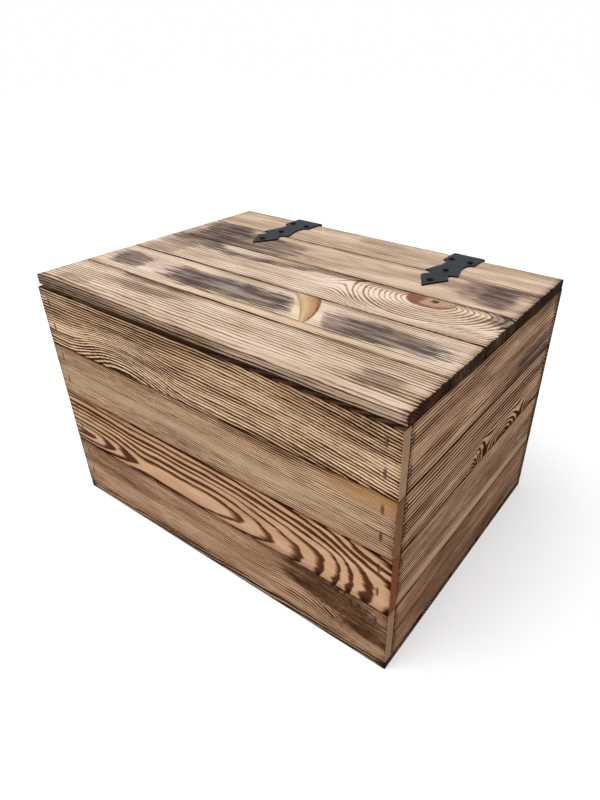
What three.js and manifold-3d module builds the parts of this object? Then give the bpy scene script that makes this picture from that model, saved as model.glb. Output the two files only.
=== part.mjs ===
// Kindling box: four walls of flamed pine boards on inner corner posts, boards across the
// bottom, and a boarded lid on two ornamental chest hinges with cranked lid leaves.
// Millimetres, +Z up. The origin is the middle of the underside, +X runs to the right along
// the front and +Y runs to the back.

import * as THREE from 'three';
import { mergeVertices } from 'three/addons/utils/BufferGeometryUtils.js';
import Module from 'manifold-3d';

const wasm = await Module();
wasm.setup();

// Walls and bottom
const BOX_LENGTH = 500;
const BOX_DEPTH = 373;
const WALL_THICKNESS = 12;
const COURSE_WIDTHS = [73.5, 75, 70.5, 73.5]; // wall boards from the bottom up
const BOTTOM_THICKNESS = 12;
const BOTTOM_BOARDS = 5;
const POST_SIZE = 20;
const JOINT_GAP = 0.5; // shrinkage gap between neighbouring boards
const ARRIS = 0.75; // eased edge of a board

// Lid
const LID_THICKNESS = 12;
const LID_INSET = 4.5; // front and back edges stand back from the wall faces
const LID_OVERHANG_LEFT = 4.5;
const LID_OVERHANG_RIGHT = 0.5;
const LID_WIDTHS = [73.5, 76.5, 73.5, 72]; // behind the front board, which closes the depth
const LID_SEAM = 0.5; // between wall tops and lid
const BATTEN_WIDTH = 40;
const BATTEN_THICKNESS = 12;
const BATTEN_SPACING = 214;
const BATTEN_CLEARANCE = 8; // batten end to wall

// Hinges
const HINGE_FROM_LEFT = 115; // hinge centre to box end
const HINGE_FROM_RIGHT = 124;
const LEAF_THICKNESS = 2;
const LEAF_WIDTH = 42;
const LEAF_LENGTH = 128.5; // pin to the point of the spear
const STRAP_LENGTH = 34; // straight part next to the knuckles
const WAIST_WIDTH = 27;
const WAIST_START = 45;
const WAIST_END = 53;
const SHOULDER_WIDTH = 43;
const SHOULDER_END = 80;
const NECK_WIDTH = 23;
const NECK_END = 87;
const SPEAR_WIDTH = 36;
const SPEAR_START = 97.5;
const BEND_RADIUS = 1; // inside the crank
const PIN_DIAMETER = 4;
const PIN_CLEARANCE = 0.125;
const KNUCKLES = 3; // one on the lid leaf between two on the box leaf
const KNUCKLE_GAP = 0.5; // between knuckles, along the pin
const ROLL_END = 112; // degrees, where the rolled strip stops short of its own leg

// Screws
const SCREW_PAIR_AT = 27; // along the leaf
const SCREW_PAIR_SPREAD = 25;
const SHOULDER_SCREW_AT = 69;
const SPEAR_SCREW_FROM_POINT = 19.5;
const SCREW_DIAMETER = 3;
const SCREW_LENGTH = 11;
const SCREW_HEAD_DIAMETER = 7.5;
const SCREW_HEAD_HEIGHT = 2.2;
const SCREW_RIM_HEIGHT = 0.8; // upright edge of the head, below its dome
const SCREW_FIT = 0.3; // room round a shank in its hole

// How finely curves are cut, and how near two vertices lie to be one
const ARC_STEPS = 16;
const OUTLINE_STEPS = 5;
const DOME_STEPS = 3;
const PIN_SIDES = 20;
const SCREW_SIDES = 12;
const WELD = 1e-4;

// Places that follow from the sizes
const WALL_HEIGHT = sum(COURSE_WIDTHS);
const WALL_TOP = BOTTOM_THICKNESS + WALL_HEIGHT;
const INNER_LENGTH = BOX_LENGTH - 2 * WALL_THICKNESS;
const INNER_DEPTH = BOX_DEPTH - 2 * WALL_THICKNESS;
const BACK_FACE = BOX_DEPTH / 2;
const LID_BOTTOM = WALL_TOP + LID_SEAM;
const LID_TOP = LID_BOTTOM + LID_THICKNESS;
const LID_LENGTH = BOX_LENGTH + LID_OVERHANG_LEFT + LID_OVERHANG_RIGHT;
const LID_DEPTH = BOX_DEPTH - 2 * LID_INSET;
const LID_MIDDLE = (LID_OVERHANG_RIGHT - LID_OVERHANG_LEFT) / 2;
const BORE_RADIUS = PIN_DIAMETER / 2 + PIN_CLEARANCE;
const KNUCKLE_RADIUS = BORE_RADIUS + LEAF_THICKNESS;
const KNUCKLE_LENGTH = LEAF_WIDTH / KNUCKLES;
const STRIP_LAP = STRAP_LENGTH / 2; // part of a leaf's straight length that its bent strip makes
const PIN_Y = BACK_FACE + KNUCKLE_RADIUS;
const PIN_Z = WALL_TOP + LID_SEAM / 2;
const HINGES = {
  left: HINGE_FROM_LEFT - BOX_LENGTH / 2,
  right: BOX_LENGTH / 2 - HINGE_FROM_RIGHT,
};

const X = new THREE.Vector3(1, 0, 0);
const Y = new THREE.Vector3(0, 1, 0);
const Z = new THREE.Vector3(0, 0, 1);
const SECTION_FRAME = new THREE.Matrix4().makeBasis(Y, Z, X); // a section drawn in y and z

function sum(values) {
  return values.reduce((total, value) => total + value, 0);
}

// Solids

function toSolid(geometry) {
  const bare = geometry.clone();
  bare.deleteAttribute('normal');
  bare.deleteAttribute('uv');
  const merged = mergeVertices(bare, WELD);
  const vertProperties = new Float32Array(merged.attributes.position.array);
  const triVerts = new Uint32Array(merged.index.array);
  return new wasm.Manifold(new wasm.Mesh({ numProp: 3, vertProperties, triVerts }));
}

function toGeometry(solid) {
  const mesh = solid.getMesh();
  const geometry = new THREE.BufferGeometry();
  geometry.setAttribute('position', new THREE.BufferAttribute(mesh.vertProperties, 3));
  geometry.setIndex(new THREE.BufferAttribute(mesh.triVerts, 1));
  geometry.computeVertexNormals();
  return geometry;
}

// An extrusion centred on its own depth, with its axes laid along the columns of a frame.
// A bevel eases the edges of both ends and leaves the size as it is.
function extrude(shape, depth, frame, bevel = 0) {
  const geometry = new THREE.ExtrudeGeometry(shape, {
    depth: depth - 2 * bevel,
    curveSegments: ARC_STEPS,
    bevelEnabled: bevel > 0,
    bevelSegments: 1,
    bevelThickness: bevel,
    bevelSize: bevel,
    bevelOffset: -bevel,
  });
  geometry.translate(0, 0, bevel - depth / 2);
  return toSolid(geometry.applyMatrix4(frame));
}

function block(low, high) {
  const size = high.map((value, axis) => value - low[axis]);
  const middle = high.map((value, axis) => (value + low[axis]) / 2);
  return toSolid(new THREE.BoxGeometry(...size).translate(...middle));
}

// The frame of a face: x along the grain, y across it and z out of the wood.
function facing(outward, across, x, y, z) {
  const along = new THREE.Vector3().crossVectors(across, outward);
  return new THREE.Matrix4().makeBasis(along, across, outward).setPosition(x, y, z);
}

function shifted(frame, x, y) {
  return frame.clone().multiply(new THREE.Matrix4().makeTranslation(x, y, 0));
}

function overlaps(a, b) {
  const first = a.boundingBox();
  const second = b.boundingBox();
  return first.min.every((low, axis) => low < second.max[axis] && second.min[axis] < first.max[axis]);
}

// A piece with a hole for each fastener that passes through it.
function drilled(solid, holes) {
  const met = holes.filter((hole) => overlaps(solid, hole));
  return met.reduce((rest, hole) => rest.subtract(hole), solid);
}

// Wood

// A sawn board with its outer face in the frame's plane and all its arrises eased.
function board(length, width, thickness, frame) {
  const section = new THREE.Shape();
  section.moveTo(ARRIS, 0);
  section.lineTo(width - ARRIS, 0);
  section.lineTo(width, -ARRIS);
  section.lineTo(width, ARRIS - thickness);
  section.lineTo(width - ARRIS, -thickness);
  section.lineTo(ARRIS, -thickness);
  section.lineTo(0, ARRIS - thickness);
  section.lineTo(0, -ARRIS);
  section.closePath();
  return extrude(section, length, frame.clone().multiply(SECTION_FRAME), ARRIS);
}

// Boards laid side by side from the frame's x axis, with half a joint gap at each edge.
function boardRow(length, widths, thickness, frame) {
  let edge = 0;
  return widths.map((width) => {
    const place = shifted(frame, 0, edge + JOINT_GAP / 2);
    edge += width;
    return board(length, width - JOINT_GAP, thickness, place);
  });
}

// Walls: front and back run the full length, and the sides stand between them.
const WALLS = {
  front: { outward: Y.clone().negate(), length: BOX_LENGTH, reach: BOX_DEPTH / 2 },
  back: { outward: Y, length: BOX_LENGTH, reach: BOX_DEPTH / 2 },
  left: { outward: X.clone().negate(), length: INNER_DEPTH, reach: BOX_LENGTH / 2 },
  right: { outward: X, length: INNER_DEPTH, reach: BOX_LENGTH / 2 },
};

function wallBoards({ outward, length, reach }) {
  const frame = facing(outward, Z, outward.x * reach, outward.y * reach, BOTTOM_THICKNESS);
  return boardRow(length, COURSE_WIDTHS, WALL_THICKNESS, frame);
}

const POSTS = {
  front_left: { side: -1, y: -INNER_DEPTH / 2 },
  front_right: { side: 1, y: -INNER_DEPTH / 2 },
  back_left: { side: -1, y: INNER_DEPTH / 2 - POST_SIZE },
  back_right: { side: 1, y: INNER_DEPTH / 2 - POST_SIZE },
};

function post({ side, y }) {
  const outward = X.clone().multiplyScalar(side);
  const middle = BOTTOM_THICKNESS + WALL_HEIGHT / 2;
  const frame = facing(outward, Y, (side * INNER_LENGTH) / 2, y, middle);
  return board(WALL_HEIGHT, POST_SIZE, POST_SIZE, frame);
}

function bottomBoards() {
  const widths = Array(BOTTOM_BOARDS).fill(BOX_DEPTH / BOTTOM_BOARDS);
  const frame = facing(Z.clone().negate(), Y, 0, -BOX_DEPTH / 2, 0);
  return boardRow(BOX_LENGTH, widths, BOTTOM_THICKNESS, frame);
}

// Lid

const BATTENS = { left: -BATTEN_SPACING / 2, right: BATTEN_SPACING / 2 };

function lidBoards() {
  const widths = [LID_DEPTH - sum(LID_WIDTHS), ...LID_WIDTHS];
  const frame = facing(Z, Y, LID_MIDDLE, -LID_DEPTH / 2, LID_TOP);
  return boardRow(LID_LENGTH, widths, LID_THICKNESS, frame);
}

// Battens hang under the lid, clear of the walls.
function batten(x) {
  const frame = facing(Z.clone().negate(), X, x - BATTEN_WIDTH / 2, 0, LID_BOTTOM - BATTEN_THICKNESS);
  return board(INNER_DEPTH - 2 * BATTEN_CLEARANCE, BATTEN_WIDTH, BATTEN_THICKNESS, frame);
}

// Hinges

// Ornamental outline of a leaf, from a start near the knuckles to the spear's point.
function leafOutline(start) {
  const half = new THREE.Path();
  half.moveTo(LEAF_WIDTH / 2, start);
  half.lineTo(LEAF_WIDTH / 2, STRAP_LENGTH);
  half.quadraticCurveTo(WAIST_WIDTH / 2, STRAP_LENGTH, WAIST_WIDTH / 2, WAIST_START);
  half.lineTo(WAIST_WIDTH / 2, WAIST_END);
  const flareWidth = (WAIST_WIDTH + SHOULDER_WIDTH) / 2;
  half.quadraticCurveTo(flareWidth / 2, (WAIST_END + SHOULDER_END) / 2, SHOULDER_WIDTH / 2, SHOULDER_END);
  half.quadraticCurveTo(NECK_WIDTH / 2, SHOULDER_END, NECK_WIDTH / 2, NECK_END);
  half.lineTo(SPEAR_WIDTH / 2, SPEAR_START);
  half.lineTo(0, LEAF_LENGTH);
  const right = half.getPoints(OUTLINE_STEPS);
  const left = right.slice(0, -1).reverse().map((point) => new THREE.Vector2(-point.x, point.y));
  return new THREE.Shape([...right, ...left]);
}

// Carries a strip's section once round the pin: the bore side out and the outer side back.
function rollRoundPin(section) {
  const end = 2 * Math.PI + THREE.MathUtils.degToRad(ROLL_END);
  section.absarc(0, 0, BORE_RADIUS, Math.PI, end, false);
  section.absarc(0, 0, KNUCKLE_RADIUS, end, Math.PI, true);
}

// The lid leaf's strip: along the lid, bent down behind it and rolled round the pin.
function crankSection() {
  const top = LID_TOP + LEAF_THICKNESS - PIN_Z;
  const outerBend = BEND_RADIUS + LEAF_THICKNESS;
  const bendY = -BORE_RADIUS - outerBend;
  const bendZ = top - outerBend;
  const flatEnd = -BORE_RADIUS - STRIP_LAP;
  const section = new THREE.Shape();
  section.moveTo(flatEnd, top);
  section.absarc(bendY, bendZ, outerBend, Math.PI / 2, 0, true);
  rollRoundPin(section);
  section.absarc(bendY, bendZ, BEND_RADIUS, 0, Math.PI / 2, false);
  section.lineTo(flatEnd, top - LEAF_THICKNESS);
  section.closePath();
  return section;
}

// The box leaf's strip, standing up from its roll. The finished leaf is turned over to hang.
function uprightSection() {
  const section = new THREE.Shape();
  section.moveTo(-BORE_RADIUS, STRIP_LAP);
  rollRoundPin(section);
  section.lineTo(-KNUCKLE_RADIUS, STRIP_LAP);
  section.closePath();
  return section;
}

// Room for the other leaf's knuckle between two places along the pin.
function knuckleRoom(from, to) {
  const reach = KNUCKLE_RADIUS + KNUCKLE_GAP;
  return block([from, -reach, -reach], [to, reach, reach]);
}

// Round the pin as the origin: the lid leaf has the middle knuckle.
function lidLeaf() {
  const plateZ = LID_TOP + LEAF_THICKNESS / 2 - PIN_Z;
  const plateFrame = facing(Z, Y.clone().negate(), 0, -BORE_RADIUS, plateZ);
  const plate = extrude(leafOutline(BEND_RADIUS + LEAF_THICKNESS), LEAF_THICKNESS, plateFrame);
  const strip = extrude(crankSection(), LEAF_WIDTH, SECTION_FRAME);
  const inner = (KNUCKLE_LENGTH - KNUCKLE_GAP) / 2;
  return plate
    .add(strip)
    .subtract(knuckleRoom(-LEAF_WIDTH, -inner))
    .subtract(knuckleRoom(inner, LEAF_WIDTH));
}

// The box leaf has the two outer knuckles and hangs flat on the back.
function boxLeaf() {
  const plateFrame = facing(Y.clone().negate(), Z, 0, -(BORE_RADIUS + KNUCKLE_RADIUS) / 2, 0);
  const plate = extrude(leafOutline(KNUCKLE_RADIUS), LEAF_THICKNESS, plateFrame);
  const strip = extrude(uprightSection(), LEAF_WIDTH, SECTION_FRAME);
  const outer = (KNUCKLE_LENGTH + KNUCKLE_GAP) / 2;
  return plate.add(strip).subtract(knuckleRoom(-outer, outer)).rotate([0, 180, 0]);
}

function pin() {
  const radius = PIN_DIAMETER / 2;
  const round = new THREE.CylinderGeometry(radius, radius, LEAF_WIDTH, PIN_SIDES);
  return toSolid(round.rotateZ(Math.PI / 2));
}

// Screw places on a leaf, in a frame that has its y axis up the leaf from its start.
function screwPlaces(frame) {
  return [
    shifted(frame, -SCREW_PAIR_SPREAD / 2, SCREW_PAIR_AT),
    shifted(frame, SCREW_PAIR_SPREAD / 2, SCREW_PAIR_AT),
    shifted(frame, 0, SHOULDER_SCREW_AT),
    shifted(frame, 0, LEAF_LENGTH - SPEAR_SCREW_FROM_POINT),
  ];
}

function lidScrews(x) {
  return screwPlaces(facing(Z, Y.clone().negate(), x, BACK_FACE + LEAF_THICKNESS, LID_TOP + LEAF_THICKNESS));
}

function boxScrews(x) {
  return screwPlaces(facing(Y, Z.clone().negate(), x, BACK_FACE + LEAF_THICKNESS, PIN_Z));
}

// A domed pan head on a plain pointed shank, turned about the frame's z axis.
function screw(frame) {
  const rim = SCREW_HEAD_DIAMETER / 2;
  const shank = SCREW_DIAMETER / 2;
  const profile = new THREE.Path();
  profile.moveTo(0, -SCREW_LENGTH);
  profile.lineTo(shank, SCREW_DIAMETER - SCREW_LENGTH);
  profile.lineTo(shank, 0);
  profile.lineTo(rim, 0);
  profile.lineTo(rim, SCREW_RIM_HEIGHT);
  profile.quadraticCurveTo(rim, SCREW_HEAD_HEIGHT, 0, SCREW_HEAD_HEIGHT);
  const turned = new THREE.LatheGeometry(profile.getPoints(DOME_STEPS), SCREW_SIDES);
  return toSolid(turned.rotateX(Math.PI / 2).applyMatrix4(frame));
}

function screwHole(frame) {
  const radius = SCREW_DIAMETER / 2 + SCREW_FIT;
  const depth = SCREW_LENGTH + 2 * SCREW_FIT;
  const round = new THREE.CylinderGeometry(radius, radius, depth, SCREW_SIDES);
  const place = round.rotateX(Math.PI / 2).translate(0, 0, -SCREW_LENGTH / 2);
  return toSolid(place.applyMatrix4(frame));
}

// Finishes

const FINISHES = {
  flamedPine: { color: 0xa98763, roughness: 0.72, metalness: 0 },
  barePine: { color: 0xd8b88a, roughness: 0.7, metalness: 0 },
  blackHinge: { color: 0x3a3d42, roughness: 0.55, metalness: 0.35 },
  blackScrew: { color: 0x14151a, roughness: 0.4, metalness: 0.5 },
};

// A named mesh placed at the middle of its solid.
function piece(name, solid, finish) {
  const { min, max } = solid.boundingBox();
  const middle = min.map((low, axis) => (low + max[axis]) / 2);
  const geometry = toGeometry(solid.translate(middle.map((value) => -value)));
  const mesh = new THREE.Mesh(geometry, new THREE.MeshStandardMaterial(FINISHES[finish]));
  mesh.name = name;
  mesh.position.set(...middle);
  return mesh;
}

// Assembly

const box = new THREE.Group();
const lid = new THREE.Group();
lid.position.set(0, PIN_Y, PIN_Z);
lid.updateMatrixWorld();

const leaves = Object.entries(HINGES).flatMap(([side, x]) => [
  { name: `lid_leaf_screw_${side}`, group: lid, places: lidScrews(x) },
  { name: `box_leaf_screw_${side}`, group: box, places: boxScrews(x) },
]);
const holes = leaves.flatMap(({ places }) => places.map(screwHole));

for (const [side, wall] of Object.entries(WALLS)) {
  wallBoards(wall).forEach((solid, index) => {
    box.add(piece(`${side}_board_${index + 1}`, drilled(solid, holes), 'flamedPine'));
  });
}
bottomBoards().forEach((solid, index) => {
  box.add(piece(`bottom_board_${index + 1}`, drilled(solid, holes), 'flamedPine'));
});
for (const [corner, place] of Object.entries(POSTS)) {
  box.add(piece(`corner_post_${corner}`, drilled(post(place), holes), 'barePine'));
}
lidBoards().forEach((solid, index) => {
  lid.attach(piece(`lid_board_${index + 1}`, drilled(solid, holes), 'flamedPine'));
});
for (const [side, x] of Object.entries(BATTENS)) {
  lid.attach(piece(`lid_batten_${side}`, drilled(batten(x), holes), 'barePine'));
}

for (const [side, x] of Object.entries(HINGES)) {
  const place = [x, PIN_Y, PIN_Z];
  lid.attach(piece(`hinge_lid_leaf_${side}`, drilled(lidLeaf().translate(place), holes), 'blackHinge'));
  box.add(piece(`hinge_box_leaf_${side}`, drilled(boxLeaf().translate(place), holes), 'blackHinge'));
  box.add(piece(`hinge_pin_${side}`, pin().translate(place), 'blackHinge'));
}
for (const { name, group, places } of leaves) {
  places.forEach((frame, index) => {
    group.attach(piece(`${name}_${index + 1}`, screw(frame), 'blackScrew'));
  });
}

const kindlingBox = new THREE.Group();
kindlingBox.name = 'kindling_box';
kindlingBox.add(box, lid);

export default kindlingBox;
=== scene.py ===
import math
import random

import bmesh
import bpy
from mathutils import Euler, Matrix, Vector


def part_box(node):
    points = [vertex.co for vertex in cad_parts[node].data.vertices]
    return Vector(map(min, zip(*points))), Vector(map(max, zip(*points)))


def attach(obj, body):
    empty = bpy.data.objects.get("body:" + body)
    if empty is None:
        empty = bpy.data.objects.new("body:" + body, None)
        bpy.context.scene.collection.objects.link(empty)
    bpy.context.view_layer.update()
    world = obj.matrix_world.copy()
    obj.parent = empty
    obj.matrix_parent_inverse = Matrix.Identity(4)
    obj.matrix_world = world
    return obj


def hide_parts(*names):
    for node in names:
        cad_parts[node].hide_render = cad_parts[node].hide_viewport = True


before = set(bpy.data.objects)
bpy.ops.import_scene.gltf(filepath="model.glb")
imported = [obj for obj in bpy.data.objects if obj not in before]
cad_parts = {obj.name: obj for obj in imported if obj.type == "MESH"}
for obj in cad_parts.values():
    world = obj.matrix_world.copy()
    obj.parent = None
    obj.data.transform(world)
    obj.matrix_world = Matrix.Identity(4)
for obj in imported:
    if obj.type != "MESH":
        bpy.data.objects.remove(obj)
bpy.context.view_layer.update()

# ---------------------------------------------------------------- Bottom boards
# Five sawn pine boards, 12 mm thick, that run the length of the box under its walls. Their
# arrises are eased, and the torch has browned the faces and scorched the edges and ends.

MM = 0.001  # and sizes are in mm, unless their comment says otherwise
NOISE_SPREAD = (0.35, 0.65)  # most of a noise lies between these


def colour(code):
    """An sRGB hex colour as linear red, green, blue and alpha."""
    parts = [int(code[i : i + 2], 16) / 255 for i in (1, 3, 5)]
    linear = [c / 12.92 if c <= 0.04045 else ((c + 0.055) / 1.055) ** 2.4 for c in parts]
    return (*linear, 1)


def node(tree, kind, inputs=(), **settings):
    """Adds a shader node with its settings, values and links, and returns its first output."""
    made = tree.nodes.new("ShaderNode" + kind)
    for key, value in settings.items():
        setattr(made, key, value)
    pairs = inputs.items() if isinstance(inputs, dict) else enumerate(inputs)
    for key, value in pairs:
        if isinstance(value, bpy.types.NodeSocket):
            tree.links.new(value, made.inputs[key])
        else:
            made.inputs[key].default_value = value
    return next((socket for socket in made.outputs if socket.enabled), None)


def new_material(name):
    """A new material, with no nodes yet."""
    material = bpy.data.materials.new(name)
    material.use_nodes = True
    material.node_tree.nodes.clear()
    return material


def streaks(tree, place, length, width, seed, detail=2.0):
    """Noise drawn out along the grain, with features of that length and width in mm."""
    scale = (1 / length, 1 / width, 1 / width)
    drawn = node(tree, "Mapping", {"Vector": place, "Location": (seed, 0, 0), "Scale": scale})
    return node(tree, "TexNoise", {"Vector": drawn, "Scale": 1.0, "Detail": detail})


THROUGH = 1000  # mm, so that an oval goes right through a board


def oval(tree, place, across, up, reach, rise, turn):
    """Place within an oval of a board's face, in shares of its half length and half width."""
    inputs = {
        "Vector": place,
        "Location": (across, up, 0),
        "Rotation": (0, 0, math.radians(turn)),
        "Scale": (reach, rise, THROUGH),
    }
    return node(tree, "Mapping", inputs, vector_type="TEXTURE")


def patch(tree, place, across, up, reach, rise, turn, fade):
    """An oval patch of a board's face: 1 in its middle and 0 at its rim."""
    within = oval(tree, place, across, up, reach, rise, turn)
    fall = node(tree, "TexGradient", (within,), gradient_type="SPHERICAL")
    return node(tree, "Math", (fall, fade), operation="POWER")


SLOW_SWAY = (150, 42)  # mm along and across the grain, as in every pair for streaks
QUICK_SWAY = (38, 13)
FRAY = (24, 1.4)
FRAY_REACH = 1.6  # mm that fibres wander over the edge of a ring
HEART_SPAN = 400  # mm that the heart's curves cover to each side of the middle


def year_rings(tree, place, seed, heart, ring, wave, swells, whorls):
    """Counts the year rings out from the tree's heart, whose points are (x, y, depth). Near a knot
    they rise in a swell, (x, y, reach, rise, lift), or start from a count of their own in a
    whorl, (x, y, stretch, press, ring, count, near, far), which is pressed flat above. Also
    returns how near the knots are."""
    slow = streaks(tree, place, *SLOW_SWAY, seed).node.outputs["Color"]
    quick = streaks(tree, place, *QUICK_SWAY, seed + 2).node.outputs["Color"]
    fray = streaks(tree, place, *FRAY, seed + 4)
    sway = Vector((0, wave, wave))
    wavy = node(tree, "VectorMath", (place, 2 * sway), operation="SUBTRACT")
    wavy = node(tree, "VectorMath", (slow, 3 * sway, wavy), operation="MULTIPLY_ADD")
    wavy = node(tree, "VectorMath", (quick, sway, wavy), operation="MULTIPLY_ADD")
    swirl = 0.0
    for across, up, reach, rise, lift in swells:
        off = oval(tree, wavy, across, up, reach, rise, 0)
        off = node(tree, "VectorMath", (off,), operation="LENGTH")
        off = node(tree, "MapRange", (off, 0, 1, 1, 0), interpolation_type="SMOOTHSTEP")
        wavy = node(tree, "VectorMath", (off, (0, -lift, 0), wavy), operation="MULTIPLY_ADD")
        swirl = node(tree, "Math", (swirl, off), operation="MAXIMUM")
    run = node(tree, "VectorMath", (place, (1 / HEART_SPAN, 0, 0)), operation="DOT_PRODUCT")
    path = node(tree, "VectorCurve", {"Vector": run})
    for axis, sign in ((1, 1), (2, -1)):
        curve = path.node.mapping.curves[axis]
        points = [(point[0] / HEART_SPAN, sign * point[axis] / HEART_SPAN) for point in heart]
        curve.points[0].location = points[0]
        curve.points[1].location = points[-1]
        for point in points[1:-1]:
            curve.points.new(*point)
    path.node.mapping.update()
    away = node(tree, "VectorMath", (path, (-HEART_SPAN,) * 3, wavy), operation="MULTIPLY_ADD")
    away = node(tree, "VectorMath", (away,), operation="LENGTH")
    rings = node(tree, "Math", (away, ring), operation="DIVIDE")
    for across, up, stretch, press, gap, count, near, far in whorls:
        round_it = oval(tree, wavy, across, up, stretch, 1, 0)
        above = node(tree, "VectorMath", (round_it, (0, 0, 0)), operation="MAXIMUM")
        pressed = (above, (0, press - 1, 0), round_it)
        round_it = node(tree, "VectorMath", pressed, operation="MULTIPLY_ADD")
        round_it = node(tree, "VectorMath", (round_it,), operation="LENGTH")
        own = node(tree, "Math", (round_it, 1 / gap, count), operation="MULTIPLY_ADD")
        share = (round_it, near, far, 1, 0)
        share = node(tree, "MapRange", share, interpolation_type="SMOOTHSTEP")
        rings = node(tree, "Mix", {0: share, 2: rings, 3: own})
        swirl = node(tree, "Math", (swirl, share), operation="MAXIMUM")
    return node(tree, "Math", (fray, FRAY_REACH / ring, rings), operation="MULTIPLY_ADD"), swirl


BUNDLE = (260, 17)  # years with much latewood lie together
BUNDLE_SPREAD = (0.3, 0.7)
YEARLY_CHANGE = 0.7
YEARLY_SHARE = 0.5  # how much of a year's latewood is its own
KNOT_SHARE = 0.1  # of a year, more latewood round a knot
THICKENING = (0.85, 1.15)  # a year and its share of latewood together, from pale to dark
YEARS_END = (0.9, 1.0)  # of a year, from dark to pale


def latewood(tree, place, seed, rings, swirl, share):
    """How dense the wood is: each year it thickens into dark latewood, and then drops sharply.
    Some years have little latewood and some have much, most of all round a knot."""
    year = node(tree, "Math", (rings,), operation="FRACT")
    bundle = streaks(tree, place, *BUNDLE, seed)
    bundle = node(tree, "MapRange", (bundle, *BUNDLE_SPREAD, share - YEARLY_SHARE, share))
    lean = node(tree, "TexNoise", {"W": rings, "Scale": YEARLY_CHANGE}, noise_dimensions="1D")
    lean = node(tree, "Math", (lean, YEARLY_SHARE, bundle), operation="MULTIPLY_ADD")
    year_on = node(tree, "Math", (year, lean), operation="ADD")
    year_on = node(tree, "Math", (swirl, KNOT_SHARE, year_on), operation="MULTIPLY_ADD")
    rise = (year_on, *THICKENING, 0, 1)
    rise = node(tree, "MapRange", rise, interpolation_type="SMOOTHSTEP")
    drop = node(tree, "MapRange", (year, *YEARS_END, 1, 0))
    return node(tree, "Math", (rise, drop), operation="MULTIPLY")


CHAR_SWAY = (26, 6)
CHAR_REACH = (0.6, 3.5)  # mm in from an edge that are black
BROWN_REACH = 10  # mm in from an edge that are browned
CHAR_SHARE = 0.75  # of an edge's burn is black, and the rest is brown


def scorched(tree, place, least, most, seed, rim, ends):
    """Burnt arrises and ends, low and high: black at the edge, and brown a little way in."""
    top = Vector((0, 0, most.z))
    wander = streaks(tree, place, *CHAR_SWAY, seed, 3)
    reach = node(tree, "MapRange", (wander, *NOISE_SPREAD, *CHAR_REACH))
    low = node(tree, "VectorMath", (place, least - top), operation="SUBTRACT")
    high = node(tree, "VectorMath", (most - top, place), operation="SUBTRACT")
    low = node(tree, "SeparateXYZ", (low,)).node.outputs
    high = node(tree, "SeparateXYZ", (high,)).node.outputs
    burn = 0.0
    for inset, depth in zip((low["Y"], high["Y"], low["X"], high["X"]), (*rim, *ends)):
        for far, share in ((reach, CHAR_SHARE), (BROWN_REACH, 1 - CHAR_SHARE)):
            near = (inset, 0, far, share * depth, 0)
            near = node(tree, "MapRange", near, interpolation_type="SMOOTHSTEP")
            burn = node(tree, "Math", (near, burn), operation="ADD")
    return burn


FEATHER = (40, 1.8)
DRIFT = (70, 22)
FEATHER_PULL = 1.5  # how far each pulls the rim of a patch out, in shares of its half size
DRIFT_PULL = 0.8
LATEWOOD_PULL = 0.15
LEVEL_PULL = -1.23  # takes off about half of the three, so that the rim goes in as well as out
RIM_FADE = (-1.1, -0.8)
MOTTLE = (60, 7)
MOTTLE_SPREAD = (0.35, 0.6)
THIN, THICK = 0.45, 1.05


def flamed_patches(tree, place, seed, dense, patches):
    """Where the flame lingered: long patches, ragged along the fibres and drawn out along the
    latewood. A patch is (x, y, reach, rise, turn, amount), an oval with squarer corners, and
    one with a negative amount stays clean."""
    feather = streaks(tree, place, *FEATHER, seed, 3)
    drift = streaks(tree, place, *DRIFT, seed + 2, 3)
    mottle = streaks(tree, place, *MOTTLE, seed + 4, 4)
    ragged = node(tree, "Math", (feather, FEATHER_PULL, LEVEL_PULL), operation="MULTIPLY_ADD")
    ragged = node(tree, "Math", (drift, DRIFT_PULL, ragged), operation="MULTIPLY_ADD")
    ragged = node(tree, "Math", (dense, LATEWOOD_PULL, ragged), operation="MULTIPLY_ADD")
    total = 0.0
    for across, up, reach, rise, turn, amount in patches:
        within = oval(tree, place, across, up, reach, rise, turn)
        within = node(tree, "VectorMath", (within, within), operation="MULTIPLY")
        far = node(tree, "VectorMath", (within,), operation="LENGTH")
        far = node(tree, "Math", (far, 0.5), operation="POWER")
        near = node(tree, "Math", (ragged, far), operation="SUBTRACT")
        near = (near, *RIM_FADE, 0, amount)
        near = node(tree, "MapRange", near, interpolation_type="SMOOTHSTEP")
        total = node(tree, "Math", (near, total), operation="ADD", use_clamp=True)
    thick = node(tree, "MapRange", (mottle, *MOTTLE_SPREAD, THIN, THICK))
    return node(tree, "Math", (total, thick), operation="MULTIPLY")


# Flamed pine: softwood gone over with a torch and then brushed along the grain. The year rings
# show as dark raised latewood lines on toasted earlywood, smoky where the flame lingered and
# nearly black on arrises and ends. Inside it stays pale and bare.
BURNT = (
    (0.0, "#f6dfc6"),
    (0.2, "#dabc9e"),
    (0.4, "#ad8e72"),
    (0.6, "#86664a"),
    (0.8, "#593b27"),
    (1.0, "#2a1910"),
)
SOOT = "#5d525b"
ASH = "#74696a"
BARE_EARLYWOOD = "#e2c499"
BARE_LATEWOOD = "#c08f58"
CHARRED = "#21150e"  # where the flame licks round an edge
CLOUD = (120, 24)  # a lighter or darker stretch
FIBRE = (45, 0.9)  # real fibres are finer, this is as fine as shows
FIBRE_BURN = 0.5
FIBRE_RELIEF = 0.35  # of the relief of a ring
KNOT_BURN = 0.12
EDGE_BURN = 0.8  # of an edge's burn is taken by earlywood, and twice that by latewood
SCORCH_BURN = 0.45
SOOT_BURN = 0.15
ASH_SHARE = 0.25
BARE_TURN = (0.05, 0.4)  # mm from the inner face where bare wood turns to flamed
PLAIN_ROUGH, BURNT_ROUGH = 0.62, 0.9
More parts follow.
